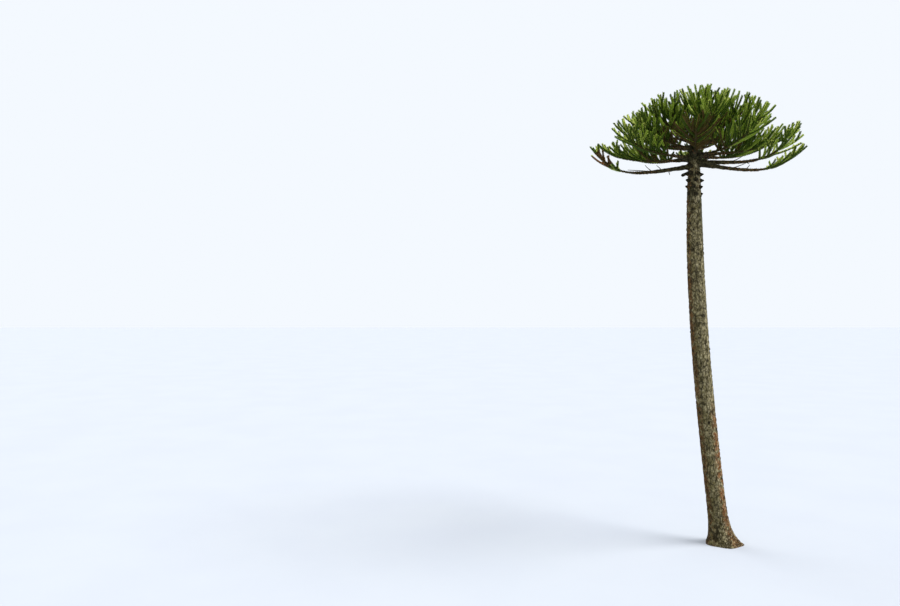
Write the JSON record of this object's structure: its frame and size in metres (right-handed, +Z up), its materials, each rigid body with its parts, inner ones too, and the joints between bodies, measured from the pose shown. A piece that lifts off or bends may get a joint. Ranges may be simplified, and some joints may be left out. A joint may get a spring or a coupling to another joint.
{
  "type": "monkey puzzle tree",
  "caption": "Tall conifer with a bare, slightly leaning trunk and an umbrella crown of boughs with rope-like leafy shoots, fixed in the ground by its flared foot.",
  "frame": {"origin": "middle of the flat cut under the trunk, at ground level", "axes": "+Z up along the trunk; the trunk leans towards -X, and the lowest boughs reach to -X and +X"},
  "size_m": [6.021, 5.522, 12.9201],
  "materials": {
    "bark": "rough, plated bark with scars",
    "limb": "dark, rough bark",
    "foliage": "leathery leaves, satin"
  },
  "bodies": {
    "root": {"trunk": "bark", "bough_low_1": "limb", "bough_low_2": "limb", "bough_low_3": "limb", "bough_skirt_1": "limb", "bough_skirt_2": "limb", "bough_skirt_3": "limb", "bough_skirt_4": "limb", "bough_skirt_5": "limb", "bough_skirt_6": "limb", "bough_skirt_7": "limb", "bough_skirt_8": "limb", "bough_middle_1": "limb", "bough_middle_2": "limb", "bough_middle_3": "limb", "bough_middle_4": "limb", "bough_middle_5": "limb", "bough_middle_6": "limb", "bough_middle_7": "limb", "bough_upper_1": "limb", "bough_upper_2": "limb", "bough_upper_3": "limb", "bough_upper_4": "limb", "bough_upper_5": "limb", "bough_upper_6": "limb", "bough_crest_1": "limb", "bough_crest_2": "limb", "bough_crest_3": "limb", "bough_crest_4": "limb", "bough_crest_5": "limb", "foliage_leader": "foliage", "foliage_low_1": "foliage", "foliage_low_2": "foliage", "foliage_low_3": "foliage", "foliage_skirt_1": "foliage", "foliage_skirt_2": "foliage", "foliage_skirt_3": "foliage", "foliage_skirt_4": "foliage", "foliage_skirt_5": "foliage", "foliage_skirt_6": "foliage", "foliage_skirt_7": "foliage", "foliage_skirt_8": "foliage", "foliage_middle_1": "foliage", "foliage_middle_2": "foliage", "foliage_middle_3": "foliage", "foliage_middle_4": "foliage", "foliage_middle_5": "foliage", "foliage_middle_6": "foliage", "foliage_middle_7": "foliage", "foliage_upper_1": "foliage", "foliage_upper_2": "foliage", "foliage_upper_3": "foliage", "foliage_upper_4": "foliage", "foliage_upper_5": "foliage", "foliage_upper_6": "foliage", "foliage_crest_1": "foliage", "foliage_crest_2": "foliage", "foliage_crest_3": "foliage", "foliage_crest_4": "foliage", "foliage_crest_5": "foliage"}
  },
  "joints": []
}
